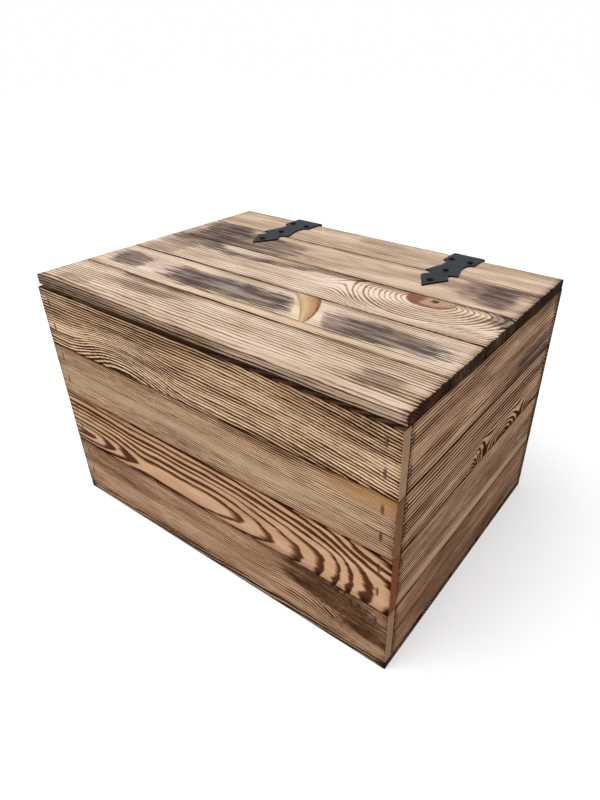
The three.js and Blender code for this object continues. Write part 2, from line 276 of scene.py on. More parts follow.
ROUGHENS = (0.3, 1.0)  # from this burn to that
BRUSHED_DEPTH = 0.3  # mm that the brush leaves latewood prouder than earlywood
PINE_IOR = 1.48


def pine(
    name,
    cad_node,
    along,
    outward,
    seed,
    heart,
    ring,
    wave=2.0,
    swells=(),
    whorls=(),
    contrast=0.5,
    share=0.4,
    toast=0.2,
    clouds=0.6,
    tint="#ffffff",
    rim=(0.5, 0.5),
    ends=(0.5, 0.5),
    stains_and_shade=(),
    scorches=(),
    smears=(),
    marks=(),
    flamed=True,
):
    """Pine with the year rings and burn marks of one board, in mm: x runs along the grain, y across
    it and z out of the face. The wood is burnt by toast all over, by clouds here and there, and by
    contrast where it is latewood. Its tint is painted light: cool on the lid for sky light on its
    top, warm on the walls for warmer light on their sides. A stain is (x, y, reach, rise, turn,
    amount, colour, fade); some are real stains and some are painted shade, such as the shade in a
    staple's dent and the lid's shadow along a wall's top edge. A mark is a function that draws on
    the wood."""
    along, outward = Vector(along), Vector(outward)
    turn = Matrix((along, outward.cross(along), outward)).to_euler()
    corners = [turn.to_matrix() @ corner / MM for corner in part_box(cad_node)]
    least = Vector(map(min, *corners))
    most = Vector(map(max, *corners))

    material = new_material(name)
    tree = material.node_tree
    source = node(tree, "TexCoord").node.outputs["Object"]
    face = {"Vector": source, "Location": (0, 0, -most.z), "Rotation": turn, "Scale": (1 / MM,) * 3}
    place = node(tree, "Mapping", face)

    rings, swirl = year_rings(tree, place, seed, heart, ring, wave, swells, whorls)
    dense = latewood(tree, place, seed + 12, rings, swirl, share)
    fibre = streaks(tree, place, *FIBRE, seed + 6, 3)
    pale = {0: dense, 6: colour(BARE_EARLYWOOD), 7: colour(BARE_LATEWOOD)}
    pale = node(tree, "Mix", pale, data_type="RGBA")
    wood, rough = pale, PLAIN_ROUGH

    if flamed:
        bold = node(tree, "Math", (swirl, KNOT_BURN, contrast), operation="MULTIPLY_ADD")
        cloud = streaks(tree, place, *CLOUD, seed + 8, 4)
        least_burn = toast - clouds / 2 - FIBRE_BURN / 2
        burn = node(tree, "Math", (dense, bold, least_burn), operation="MULTIPLY_ADD")
        burn = node(tree, "Math", (cloud, clouds, burn), operation="MULTIPLY_ADD")
        burn = node(tree, "Math", (fibre, FIBRE_BURN, burn), operation="MULTIPLY_ADD")
        edges = scorched(tree, place, least, most, seed + 10, rim, ends)
        taken = node(tree, "Math", (dense, EDGE_BURN, EDGE_BURN), operation="MULTIPLY_ADD")
        burn = node(tree, "Math", (edges, taken, burn), operation="MULTIPLY_ADD")
        if scorches:
            charred = flamed_patches(tree, place, seed + 16, dense, scorches)
            burn = node(tree, "Math", (charred, SCORCH_BURN, burn), operation="MULTIPLY_ADD")
        if smears:
            soot = flamed_patches(tree, place, seed + 14, dense, smears)
            burn = node(tree, "Math", (soot, SOOT_BURN, burn), operation="MULTIPLY_ADD")
        rough = node(tree, "MapRange", (burn, *ROUGHENS, PLAIN_ROUGH, BURNT_ROUGH))
        shades = node(tree, "ValToRGB", {"Fac": burn})
        stops = shades.node.color_ramp.elements
        stops[0].color = colour(BURNT[0][1])
        stops[1].color = colour(BURNT[-1][1])
        for position, code in BURNT[1:-1]:
            stops.new(position).color = colour(code)
        # The tint is painted light: a cool cast on the lid for sky light on its top, and warm casts
        # on the walls for warmer light on their sides
        light_cast = {0: 1.0, 6: shades, 7: colour(tint)}
        wood = node(tree, "Mix", light_cast, data_type="RGBA", blend_type="MULTIPLY")
    for across, up, reach, rise, tilt, amount, patch_colour, fade in stains_and_shade:
        spot = patch(tree, place, across, up, reach, rise, tilt, fade)
        amount = node(tree, "Math", (spot, amount), operation="MULTIPLY")
        wood = node(tree, "Mix", {0: amount, 6: wood, 7: colour(patch_colour)}, data_type="RGBA")
    if smears:
        sooted = {0: soot, 6: wood, 7: colour(SOOT)}
        wood = node(tree, "Mix", sooted, data_type="RGBA", blend_type="MULTIPLY")
        ashen = node(tree, "Math", (soot, ASH_SHARE), operation="MULTIPLY")
        wood = node(tree, "Mix", {0: ashen, 6: wood, 7: colour(ASH)}, data_type="RGBA")
    for mark in marks:
        wood = mark(tree, place, wood)
    if flamed:
        depth = node(tree, "SeparateXYZ", (place,)).node.outputs["Z"]
        turns = [least.z - most.z + rise for rise in BARE_TURN]
        bare = node(tree, "MapRange", (depth, *turns, 1, 0))
        wood = node(tree, "Mix", {0: bare, 6: wood, 7: pale}, data_type="RGBA")

    relief = node(tree, "Math", (fibre, FIBRE_RELIEF, dense), operation="MULTIPLY_ADD")
    brushed = {"Height": relief, "Distance": BRUSHED_DEPTH * MM, "Strength": 0.8}
    skin = {
        "Base Color": wood,
        "Roughness": rough,
        "IOR": PINE_IOR,
        "Specular IOR Level": 0.04,
        "Normal": node(tree, "Bump", brushed),
    }
    node(tree, "OutputMaterial", {"Surface": node(tree, "BsdfPrincipled", skin)})
    return material


def placed(name, form, material, body, stands_for=()):
    """Makes a bmesh a finished piece that rides on a body."""
    mesh = bpy.data.meshes.new(name)
    form.to_mesh(mesh)
    form.free()
    mesh.materials.append(material)
    piece = bpy.data.objects.new(name, mesh)
    bpy.context.scene.collection.objects.link(piece)
    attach(piece, body)
    if stands_for:
        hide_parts(*stands_for)


BOARD_ARRIS = 0.7


def sawn(name, cad_node, material, body, arris=BOARD_ARRIS):
    """A board, batten or post in the place of its CAD node, with eased arrises."""
    low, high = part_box(cad_node)
    form = bmesh.new()
    bmesh.ops.create_cube(form, size=1)
    bmesh.ops.scale(form, vec=high - low, verts=form.verts)
    bmesh.ops.translate(form, vec=(low + high) / 2, verts=form.verts)
    bmesh.ops.bevel(
        form,
        geom=form.edges[:],
        offset=arris * MM,
        segments=3,
        profile=0.5,
        affect="EDGES",
        material=-1,
    )
    placed(name, form, material, body, [cad_node])


BURNT_CORNER = (12, 5, 0, 1.0, CHARRED, 0.4)  # a stain where the flame gets into a gap

BOTTOM = {
    1: dict(seed=11, heart=[(-250, -110, 60), (250, -120, 50)], ring=3.2),
    2: dict(seed=27, heart=[(-250, -60, 40), (250, -75, 55)], ring=3.8),
    3: dict(seed=34, heart=[(-250, 10, 25), (0, 5, 30), (250, -8, 48)], ring=3.4),
    4: dict(seed=49, heart=[(-250, 150, 50), (250, 165, 60)], ring=2.9),
    5: dict(seed=58, heart=[(-250, 120, 30), (250, 105, 44)], ring=3.6),
}
for number, grain in BOTTOM.items():
    cad_node = f"bottom_board_{number}"
    low, high = (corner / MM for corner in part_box(cad_node))
    corners = [(x, y) for x in (low.x, high.x) for y in (low.y, high.y)]
    scorch_and_shade_stains = [(*corner, *BURNT_CORNER) for corner in corners]
    material = pine(
        f"flamed pine, bottom {number}",
        cad_node,
        (-1, 0, 0),
        (0, 0, -1),
        rim=(0.35, 0.35),
        ends=(0.6, 0.5),
        stains_and_shade=scorch_and_shade_stains,
        **grain,
    )
    sawn(f"bottom_plank_{number}", cad_node, material, "box")

# ---------------------------------------------------------------- Corner posts
# Four square battens of planed pine stand in the inner corners on the bottom boards. The wall
# boards are stapled to them from outside, so the posts are never flamed.

POSTS = {
    "front_left": dict(seed=12, heart=[(-250, -300, 30), (250, -290, 20)], ring=2.6),
    "front_right": dict(seed=23, heart=[(-250, 190, 20), (250, 200, 40)], ring=3.1),
    "back_left": dict(seed=36, heart=[(-250, -150, 25), (250, -140, 15)], ring=2.8),
    "back_right": dict(seed=45, heart=[(-250, 60, 20), (250, 70, 30)], ring=3.3),
}
for corner, grain in POSTS.items():
    cad_node = f"corner_post_{corner}"
    inward = (0, 1 if corner.startswith("front") else -1, 0)
    material = pine(
        f"planed pine, {corner} post", cad_node, (0, 0, 1), inward, flamed=False, wave=1.0, **grain
    )
    sawn(f"corner_batten_{corner}", cad_node, material, "box")

# ---------------------------------------------------------------- Wall boards
# Four courses of flamed boards: front and back run the full length and cover the ends of the
# side boards. No two boards are from the same tree, so each has rings and smoke of its own.

# The wall boards' tints are painted light, warm casts for warmer light on the sides
FRONT = {
    4: dict(
        seed=61,
        heart=[(-250, 195, 40), (-110, 195, 40), (60, 192, 40), (250, 170, 40)],
        ring=3.1,
        swells=[(-110, 231, 110, 70, 26)],
        contrast=0.74,
        share=0.5,
        toast=0.09,
        tint="#fff5e8",
        rim=(0.5, 0.3),
        ends=(0.3, 0.45),
        stains_and_shade=[(250.6, 268, 1.3, 90, 0, 0.85, "#c39b7c", 0.1)],
        scorches=[(0, 292, 400, 22, 0, 0.35)],
    ),
    3: dict(
        seed=17,
        heart=[(-250, 60, 60), (250, 40, 50)],
        ring=2.6,
        contrast=0.48,
        toast=0.28,
        tint="#fff9f2",
        clouds=0.5,
        ends=(0.3, 0.45),
        stains_and_shade=[
            (-60, 193, 280, 9, 0, 0.6, "#d9bc9c", 0.5),
            (225, 222, 60, 12, 0, 0.7, "#b7844c", 0.4),
            (250.6, 221, 1.3, 26, 0, 1.0, "#68381f", 0.1),
            (250.6, 188, 1.3, 50, 0, 0.8, "#96704f", 0.1),
        ],
    ),
    2: dict(
        seed=29,
        heart=[
            (-250, 103, 1),
            (-223, 103, 3.5),
            (-198, 103, 7),
            (-160, 103, 14),
            (-110, 103, 21.6),
            (-75, 103, 21.2),
            (-40, 103, 21.7),
            (20, 103, 23),
            (45, 103, 25.3),
            (65, 103, 28),
            (108, 103, 35),
            (152, 103, 42),
            (180, 103, 49),
            (215, 103, 63),
            (250, 103, 71),
        ],
        ring=7.0,
        wave=2.5,
        contrast=0.6,
        share=0.45,
        toast=0.24,
        clouds=0.4,
        tint="#ffecdf",
        ends=(0.3, 0.4),
        stains_and_shade=[(250.6, 125, 1.3, 90, 0, 1.0, "#8f5438", 0.1)],
    ),
    1: dict(
        seed=44,
        heart=[(-250, -60, 50), (60, -62, 50), (250, -90, 40)],
        ring=3.0,
        swells=[(150, 60, 90, 50, 12)],
        contrast=0.42,
        toast=0.33,
        tint="#fff4ee",
        ends=(0.3, 0.45),
        stains_and_shade=[(250.6, 58, 1.3, 90, 0, 0.85, "#bd9477", 0.1)],
        scorches=[(185, 62, 85, 22, -12, 0.85)],
    ),
}
RIGHT = {
    4: dict(
        seed=71,
        heart=[(-190, 160, 40), (190, 165, 40)],
        ring=3.8,
        contrast=0.66,
        toast=0.27,
        tint="#ffefe6",
        clouds=0.8,
        ends=(0.8, 0.4),
        smears=[(117, 244, 55, 18, 0, 0.6)],
    ),
    3: dict(
        seed=83,
        heart=[(-190, 60, 30), (190, 60, 30)],
        ring=5.0,
        wave=1.0,
        swells=[(-60, 161, 190, 50, 9)],
        whorls=[(60, 157, 1.9, 1.0, 5.2, 20.7, 24, 46)],
        contrast=0.7,
        share=0.45,
        toast=0.24,
        tint="#ffefe6",
        clouds=0.6,
        ends=(0.8, 0.4),
        stains_and_shade=[(22, 166, 14, 5, 20, 0.5, "#a0603f", 0.6)],
        scorches=[(-12, 170, 22, 6, 20, 0.6), (130, 168, 26, 6, -15, 0.6)],
    ),
    2: dict(
        seed=95,
        heart=[(-190, 40, 50), (190, 30, 60)],
        ring=3.4,
        contrast=0.8,
        toast=0.28,
        tint="#ffeee4",
        clouds=0.8,
        ends=(0.8, 0.4),
        stains_and_shade=[(0, 94, 260, 8, 0, 0.7, "#dcbb97", 0.4)],
    ),
    1: dict(
        seed=108,
        heart=[(-190, -80, 50), (190, -60, 60)],
        ring=3.5,
        contrast=0.75,
        toast=0.36,
        tint="#ffe9de",
        clouds=0.7,
        ends=(0.8, 0.4),
    ),
}
BACK = {
    4: dict(seed=13, heart=[(-250, 210, 30), (250, 190, 40)], ring=3.5, toast=0.25),
    3: dict(seed=26, heart=[(-250, 196, 18), (-40, 194, 26), (250, 190, 60)], ring=5.2, toast=0.28),
    2: dict(seed=38, heart=[(-250, 20, 50), (250, 30, 60)], ring=2.9, contrast=0.4, toast=0.33),
    1: dict(seed=41, heart=[(-250, -20, 30), (250, -50, 40)], ring=3.3, toast=0.3),
}
LEFT = {
    4: dict(seed=52, heart=[(-190, 330, 40), (190, 350, 40)], ring=3.1, toast=0.25),
    3: dict(seed=67, heart=[(-190, 110, 30), (190, 95, 40)], ring=3.6, toast=0.35),
    2: dict(seed=78, heart=[(-190, 125, 60), (0, 122, 34), (190, 118, 22)], ring=5.4, toast=0.24),
    1: dict(seed=89, heart=[(-190, -40, 40), (190, -60, 40)], ring=3.0, contrast=0.4, toast=0.33),
}
STAPLE_OFFSETS = (20, -12)  # mm from the middle of a board's width
FROM_CORNER = {"front": 15, "right": 5, "back": 15, "left": 5}  # mm from a board's end
STAPLE_DENT_SHADE = (2.2, 7, 0, 0.85, "#35231a", 0.4)  # painted shade in the dent that a staple crushes into the wood
LID_GAP_SHADOW = (400, 1, 0, 0.95, CHARRED, 0.15)  # painted shadow of the lid along the top edge that it closes on

WALLS = {
    "front": (FRONT, (1, 0, 0), (0, -1, 0)),
    "right": (RIGHT, (0, 1, 0), (1, 0, 0)),
    "back": (BACK, (-1, 0, 0), (0, 1, 0)),
    "left": (LEFT, (0, -1, 0), (-1, 0, 0)),
}
for side, (boards, along, outward) in WALLS.items():
    for course, grain in boards.items():
        cad_node = f"{side}_board_{course}"
        low, high = (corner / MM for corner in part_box(cad_node))
        run = abs(Vector(along).dot(high - low)) / 2 - FROM_CORNER[side]
        # Painted shade round the dents of the staples at both ends of the board
        scorch_and_shade_stains = [
            (end * run, (low.z + high.z) / 2 + rise, *STAPLE_DENT_SHADE)
            for end in (-1, 1)
            for rise in STAPLE_OFFSETS
        ]
        # The top course gets the painted shadow of the closed lid along its top edge
        if course == len(boards):
            scorch_and_shade_stains.append((0, high.z, *LID_GAP_SHADOW))
        grain = {**grain, "stains_and_shade": [*grain.get("stains_and_shade", ()), *scorch_and_shade_stains]}
        material = pine(f"flamed pine, {side} {course}", cad_node, along, outward, **grain)
        sawn(f"{side}_plank_{course}", cad_node, material, "box")

# ---------------------------------------------------------------- Lid battens
# Two flat battens of planed pine under the lid, clear of the walls, that hold its boards
# together. They are stapled to the boards from below, so nothing shows on top.

BATTENS = {
    "left": dict(seed=14, heart=[(-190, 60, 30), (190, 70, 40)], ring=2.9),
    "right": dict(seed=25, heart=[(-190, -150, 40), (190, -140, 30)], ring=3.3),
}
for side, grain in BATTENS.items():
    cad_node = f"lid_batten_{side}"
    material = pine(
        f"planed pine, {side} batten", cad_node, (0, 1, 0), (0, 0, -1), flamed=False, **grain
    )
    sawn(f"lid_cleat_{side}", cad_node, material, "lid")

# ---------------------------------------------------------------- Lid boards
# Five flamed boards side by side. The torch has left smoke along them, and has burnt their
# edges and right-hand ends nearly black. One holds a round knot, one a branch cut lengthwise.

LID_ARRIS = 0.9
BURNT_SEAM = (400, 1, 0, 0.65, CHARRED, 0.3)  # the flame gets into the gap between two boards
ROUND_KNOT = (156, 27, 31, 19, 0)  # middle, half sizes and turn
KNOT_RIPPLE = 9
KNOT_RIM = (1.0, 1.15)  # in shares of its half size, as all down to the bark
KNOT_WOBBLE = 0.25
KNOT_MIDDLE = (-0.1, 0.15)  # where red turns pale
MIDDLE_WOBBLE = 0.6
KNOT_RING = (0.03, 0.08)  # half a ring, which darkens from the first to the second
RING_DEPTH = 0.4
BARK_RIM = (0.8, 1.2)
BARK_LOWER = -0.35  # which leaves most of the bark on its lower side
BARK_DEPTH = 0.9
KNOT_RED, KNOT_PALE, KNOT_DARK, KNOT_BARK = "#8e5c49", "#bd9c80", "#805a46", "#7d5243"
PITH = (161, 28, 0)
PITH_RIM = (6.5, 11)
PITH_CRUMB = 3
PITH_CRUMBLED = 9  # mm that crumbs take off its rim
PITH_BROWN = "#4b3424"


def round_knot(tree, place, wood):
    """A sound knot cut across: red on the left and paler on the right, round a dark pith."""
    ripple = node(tree, "TexNoise", {"Vector": place, "Scale": 1 / KNOT_RIPPLE, "Detail": 3.0})
    within = oval(tree, place, *ROUND_KNOT)
    sides = node(tree, "SeparateXYZ", (within,)).node.outputs
    far = node(tree, "VectorMath", (within,), operation="LENGTH")
    far = node(tree, "Math", (ripple, KNOT_WOBBLE, far), operation="MULTIPLY_ADD")
    sway = node(tree, "Math", (ripple, MIDDLE_WOBBLE, sides["X"]), operation="MULTIPLY_ADD")
    pale = node(tree, "MapRange", (sway, *KNOT_MIDDLE, 0, 1), interpolation_type="SMOOTHSTEP")
    knot = {0: pale, 6: colour(KNOT_RED), 7: colour(KNOT_PALE)}
    knot = node(tree, "Mix", knot, data_type="RGBA")
    grown = node(tree, "Math", (far, KNOT_RING[1]), operation="PINGPONG")
    grown = node(tree, "MapRange", (grown, *KNOT_RING, 0, RING_DEPTH))
    knot = node(tree, "Mix", {0: grown, 6: knot, 7: colour(KNOT_DARK)}, data_type="RGBA")
    lower = node(tree, "Math", (sides["Y"], BARK_LOWER, far), operation="MULTIPLY_ADD")
    bark = (lower, *BARK_RIM, 0, BARK_DEPTH)
    bark = node(tree, "MapRange", bark, interpolation_type="SMOOTHSTEP")
    knot = node(tree, "Mix", {0: bark, 6: knot, 7: colour(KNOT_BARK)}, data_type="RGBA")
    crumb = node(tree, "TexNoise", {"Vector": place, "Scale": 1 / PITH_CRUMB, "Detail": 3.0})
    pith = node(tree, "VectorMath", (place, PITH), operation="SUBTRACT")
    pith = node(tree, "VectorMath", (pith,), operation="LENGTH")
    pith = node(tree, "Math", (crumb, PITH_CRUMBLED, pith), operation="MULTIPLY_ADD")
    pith = node(tree, "MapRange", (pith, *PITH_RIM, 1, 0), interpolation_type="SMOOTHSTEP")
    knot = node(tree, "Mix", {0: pith, 6: knot, 7: colour(PITH_BROWN)}, data_type="RGBA")
    inside = node(tree, "MapRange", (far, *KNOT_RIM, 1, 0), interpolation_type="SMOOTHSTEP")
    return node(tree, "Mix", {0: inside, 6: wood, 7: knot}, data_type="RGBA")


LONG_KNOT = (79, -100, 67, 13.5, 121.5)  # tip, length, half width and turn
BRANCH_FIBRE = (0.6, 0.09)  # in shares of that length and half width
BRANCH_SWELL = 0.45  # its width grows with the way from its tip to this power
BRANCH_BEND = 1.1  # four times its sag half way along, in half widths
NEARLY_NONE = 0.000001
BRANCH_SIDE = (0.9, 1.1)  # in half widths, as all down to its lines
BRANCH_RAGGED = 0.9  # how far its fibres shift the borders below
BRANCH_MIDDLE = (0.2, 0.9)  # where orange turns cream
BARK_SIDE = (-0.5, 0.1)
BARK_SIDE_DEPTH = 0.95
FAR_SIDE = (1.1, 1.4)
FAR_SIDE_DEPTH = 0.6
BRANCH_LINES = 0.4
BRANCH_ORANGE, BRANCH_CREAM = "#c2986f", "#d6bb93"
BRANCH_LINE, BRANCH_BARK, BRANCH_EDGE = "#a87a4e", "#714629", "#9a7043"


def long_knot(tree, place, wood):
    """A branch cut lengthwise: a blade that narrows to its tip, cream to orange across, with a
    dark line of bark on its right."""
    within = oval(tree, place, *LONG_KNOT)
    sides = node(tree, "SeparateXYZ", (within,)).node.outputs
    width = node(tree, "Math", (sides["X"], NEARLY_NONE), operation="MAXIMUM")
    width = node(tree, "Math", (width, BRANCH_SWELL), operation="POWER")
    left = node(tree, "Math", (1.0, sides["X"]), operation="SUBTRACT")
    bend = node(tree, "Math", (left, sides["X"]), operation="MULTIPLY")
    bent = node(tree, "Math", (bend, BRANCH_BEND, sides["Y"]), operation="MULTIPLY_ADD")
    across = node(tree, "Math", (bent, width), operation="DIVIDE")
    grain = streaks(tree, within, *BRANCH_FIBRE, 3, 3)
    sway = node(tree, "Math", (grain, BRANCH_RAGGED, across), operation="MULTIPLY_ADD")
    cream = node(tree, "MapRange", (sway, *BRANCH_MIDDLE, 0, 1), interpolation_type="SMOOTHSTEP")
    knot = {0: cream, 6: colour(BRANCH_ORANGE), 7: colour(BRANCH_CREAM)}
    knot = node(tree, "Mix", knot, data_type="RGBA")
    fibres = node(tree, "MapRange", (grain, *NOISE_SPREAD, BRANCH_LINES, 0))
    knot = node(tree, "Mix", {0: fibres, 6: knot, 7: colour(BRANCH_LINE)}, data_type="RGBA")
    bark = (sway, *BARK_SIDE, BARK_SIDE_DEPTH, 0)
    bark = node(tree, "MapRange", bark, interpolation_type="SMOOTHSTEP")
    knot = node(tree, "Mix", {0: bark, 6: knot, 7: colour(BRANCH_BARK)}, data_type="RGBA")
    edge = (sway, *FAR_SIDE, 0, FAR_SIDE_DEPTH)
    edge = node(tree, "MapRange", edge, interpolation_type="SMOOTHSTEP")
    knot = node(tree, "Mix", {0: edge, 6: knot, 7: colour(BRANCH_EDGE)}, data_type="RGBA")
    off = node(tree, "Math", (across,), operation="ABSOLUTE")
    inside = node(tree, "MapRange", (off, *BRANCH_SIDE, 1, 0), interpolation_type="SMOOTHSTEP")
    return node(tree, "Mix", {0: inside, 6: wood, 7: knot}, data_type="RGBA")


LID = {
    5: dict(
        seed=15,
        heart=[(-255, 60, 60), (255, 50, 60)],
        ring=4.0,
        wave=3.0,
        contrast=0.3,
        share=0.3,
        toast=0.22,
        smears=[(7, 163, 40, 12, 0, 0.22)],
    ),
    4: dict(
        seed=31,
        heart=[(-255, -20, 50), (255, -30, 50)],
        ring=3.3,
        contrast=0.3,
        share=0.3,
        toast=0.2,
        smears=[
            (-202, 73, 44, 52, 0, 0.95),
            (-125, 62, 75, 32, 0, 0.65),
            (210, 103, 46, 8, 0, 0.5),
            (211, 78, 21, 32, 0, 0.5),
            (200, 82, 34, 27, 0, 0.35),
            (184, 86, 52, 20, 0, 0.25),
        ],
    ),
    3: dict(
        seed=46,
        heart=[(-255, 96, 24), (255, 100, 24)],
        ring=4.5,
        whorls=[(152, 25, 1.5, 2.6, 4.4, 8.1, 56, 90)],
        contrast=0.35,
        share=0.35,
        toast=0.09,
        smears=[
            (-205, 27, 60, 12, 0, 0.9),
            (-152, 14, 36, 9, -7, 0.7),
            (-98, 13, 40, 7, 4, 0.6),
            (-42, 20, 44, 8, 10, 0.55),
            (15, 29, 50, 7, 3, 0.5),
            (-218, -8, 32, 34, 0, 0.4),
            (238, 22, 13, 13, 0, 0.6),
        ],
        stains_and_shade=[
            (112, 33, 22, 3.5, -6, 0.5, "#b27b5f", 0.5),
            (218, 28, 16, 5, -35, 0.35, "#e0c39a", 0.5),
        ],
        marks=[round_knot],
    ),
    2: dict(
        seed=57,
        heart=[(-255, -150, 30), (255, -155, 30)],
        ring=3.2,
        contrast=0.35,
        share=0.3,
        toast=0.09,
        stains_and_shade=[
            (0, -106, 246, 6, 0, 0.4, "#ebce9f", 0.5),
            (62, -78, 50, 24, -58.5, 0.6, "#efd6ae", 0.6),
            (30, -99.5, 218, 1.3, 0, 0.6, "#5d3f2c", 0.3),
            (-150, -103.5, 130, 1.0, 0, 0.5, "#5d3f2c", 0.3),
        ],
        smears=[
            (-210, -78, 32, 22, 0, 0.85),
            (-50, -78, 118, 22, 0, 0.95),
            (155, -78, 76, 22, 0, 0.9),
            (66, -75, 62, 17, -58.5, -1.0),
        ],
        marks=[long_knot],
    ),
    1: dict(
        seed=64,
        heart=[(-255, -200, 60), (255, -205, 60)],
        ring=2.9,
        contrast=0.42,
        share=0.35,
        toast=0.14,
        rim=(0.2, 0.4),
        stains_and_shade=[(-190, -180, 130, 2.6, 0, 0.9, "#3a2a22", 0.8)],
        smears=[
            (205, -152, 26, 16, 0, 0.4),
            (-110, -137, 45, 10, 0, 0.3),
            (-120, -115, 60, 11, 0, 0.75),
            (-207, -162, 26, 12, 0, 0.35),
        ],
    ),
}
for number, grain in LID.items():
    cad_node = f"lid_board_{number}"
    low, high = (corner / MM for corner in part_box(cad_node))
    inner = ([low.y] if number > 1 else []) + ([high.y] if number < len(LID) else [])
    seams = [(0, y, *BURNT_SEAM) for y in inner]
    grain = {**grain, "stains_and_shade": [*grain.get("stains_and_shade", ()), *seams]}
    material = pine(
        f"flamed pine, lid {number}",
        cad_node,
        (1, 0, 0),
        (0, 0, 1),
        # painted light: a cool cast for the sky light on the lid's top
        tint="#f4f8ff",
        clouds=0.7,
        ends=(0.2, 0.95),
        **grain,
    )
    sawn(f"lid_plank_{number}", cad_node, material, "lid", arris=LID_ARRIS)

# ---------------------------------------------------------------- Staples
# Flat galvanised wire, shot in across the grain: two in each board end, into the post or wall
# behind it, and two through each batten into every lid board. Heat has dulled them, and each
# sits a little crooked.

STAPLE_CROWN = 10
STAPLE_WIDTH = 1.3
STAPLE_WIRE = 0.9
STAPLE_PROUD = 0.25
STAPLE_SHOT = (-0.15, 0.1)  # mm deeper or prouder than that
STAPLE_TILT = 7  # degrees either way
STAPLE_STRAY = 1.5  # mm either way
WIRE_ROUNDED = 0.3  # of its thickness
FROM_END = 6  # mm from a bottom board's end
CLEAT_OFFSETS = (14, -14)  # mm from the middle of a lid board's width
TARNISH = 4  # mm across a blotch of the heat's colours
TARNISH_LIGHT, TARNISH_DARK = "#6b5745", "#3f3025"

dice = random.Random(6)

wire = new_material("galvanised wire, heat-dulled")
tree = wire.node_tree
place = node(tree, "TexCoord").node.outputs["Object"]
tarnish = node(tree, "TexNoise", {"Vector": place, "Scale": 1 / (TARNISH * MM), "Detail": 3.0})
tarnish = node(tree, "MapRange", (tarnish, *NOISE_SPREAD, 0, 1))
tint = {0: tarnish, 6: colour(TARNISH_LIGHT), 7: colour(TARNISH_DARK)}
tint = node(tree, "Mix", tint, data_type="RGBA")
skin = {"Base Color": tint, "Metallic": 0.3, "Roughness": 0.6}
node(tree, "OutputMaterial", {"Surface": node(tree, "BsdfPrincipled", skin)})


def staple(form, spot, along, outward):
    """Adds a staple's crown, across the grain, at a spot of a face in metres."""
    along, outward = Vector(along), Vector(outward)
    crown = bmesh.ops.create_cube(form, size=1)["verts"]
    size = Vector((STAPLE_WIDTH, STAPLE_CROWN, STAPLE_WIRE)) * MM
    bmesh.ops.scale(form, vec=size, verts=crown)
    edges = list({edge for vert in crown for edge in vert.link_edges})
    rounded = bmesh.ops.bevel(
        form,
        geom=edges,
        offset=STAPLE_WIRE * MM * WIRE_ROUNDED,
        segments=2,
        profile=0.5,
        affect="EDGES",
        material=-1,
    )
    faces = Matrix((along, outward.cross(along), outward)).transposed().to_4x4()
    tilt = math.radians(dice.uniform(-STAPLE_TILT, STAPLE_TILT))
    sunk = (STAPLE_PROUD - STAPLE_WIRE / 2 + dice.uniform(*STAPLE_SHOT)) * MM
    stray = along * dice.uniform(-STAPLE_STRAY, STAPLE_STRAY) * MM
    shift = Matrix.Translation(Vector(spot) + stray + outward * sunk)
    turned = shift @ faces @ Matrix.Rotation(tilt, 4, "Z")
    whole = {vert for face in rounded["faces"] for vert in face.verts}
    bmesh.ops.transform(form, matrix=turned, verts=list(whole))


for side, (boards, along, outward) in WALLS.items():
    form = bmesh.new()
    for course in boards:
        low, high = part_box(f"{side}_board_{course}")
        middle = (low + high) / 2
        half = (high - low) / 2
        for end in (-1, 1):
            run = end * (abs(Vector(along).dot(half)) - FROM_CORNER[side] * MM)
            for rise in STAPLE_OFFSETS:
                spot = middle + Vector(along) * run + Vector((0, 0, rise * MM))
                spot += Vector(outward) * abs(Vector(outward).dot(half))
                staple(form, spot, along, outward)
    placed(f"{side}_staples", form, wire, "box")

form = bmesh.new()
for number in BOTTOM:
    low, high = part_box(f"bottom_board_{number}")
    for x in (low.x + FROM_END * MM, high.x - FROM_END * MM):
        for rise in STAPLE_OFFSETS:
            spot = (x, (low.y + high.y) / 2 + rise * MM, low.z)
            staple(form, spot, (-1, 0, 0), (0, 0, -1))
placed("bottom_staples", form, wire, "box")

form = bmesh.new()
for number in LID:
    low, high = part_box(f"lid_board_{number}")
    for side in BATTENS:
        batten_low, batten_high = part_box(f"lid_batten_{side}")
        middle = (batten_low + batten_high) / 2
        for rise in CLEAT_OFFSETS:
            spot = (middle.x, (low.y + high.y) / 2 + rise * MM, batten_low.z)
            staple(form, spot, (0, 1, 0), (0, 0, -1))
placed("lid_staples", form, wire, "lid")

# ---------------------------------------------------------------- Hinges
# Ornamental chest hinges, stamped from 2 mm steel, cranked over the lid's back edge and rolled
# round a pin. They are powder coated matt anthracite, which reads as a dark blue-grey.

GRIT = 0.7  # mm, the orange peel of the coat, as coarse as it needs to show
GRIT_DEPTH = 0.05
HANDLED = 16  # mm across a patch that is a little more worn
# the last colour is painted shade for the cut sides of the sheet
COAT, COAT_WORN, COAT_SHADED_SIDE = "#1f2730", "#171c24", "#07080a"
ROUNDED = 0.3  # mm
FLAT_WITHIN = 2  # degrees, below which two faces are one
SHARP_OVER = 50  # degrees

coat = new_material("powder-coated steel, matt anthracite")
tree = coat.node_tree
place = node(tree, "TexCoord").node.outputs["Object"]
grit = node(tree, "TexNoise", {"Vector": place, "Scale": 1 / (GRIT * MM), "Detail": 2.0})
worn = node(tree, "TexNoise", {"Vector": place, "Scale": 1 / (HANDLED * MM), "Detail": 4.0})
worn = node(tree, "MapRange", (worn, *NOISE_SPREAD, 0, 1))
tint = {0: worn, 6: colour(COAT), 7: colour(COAT_WORN)}
tint = node(tree, "Mix", tint, data_type="RGBA")
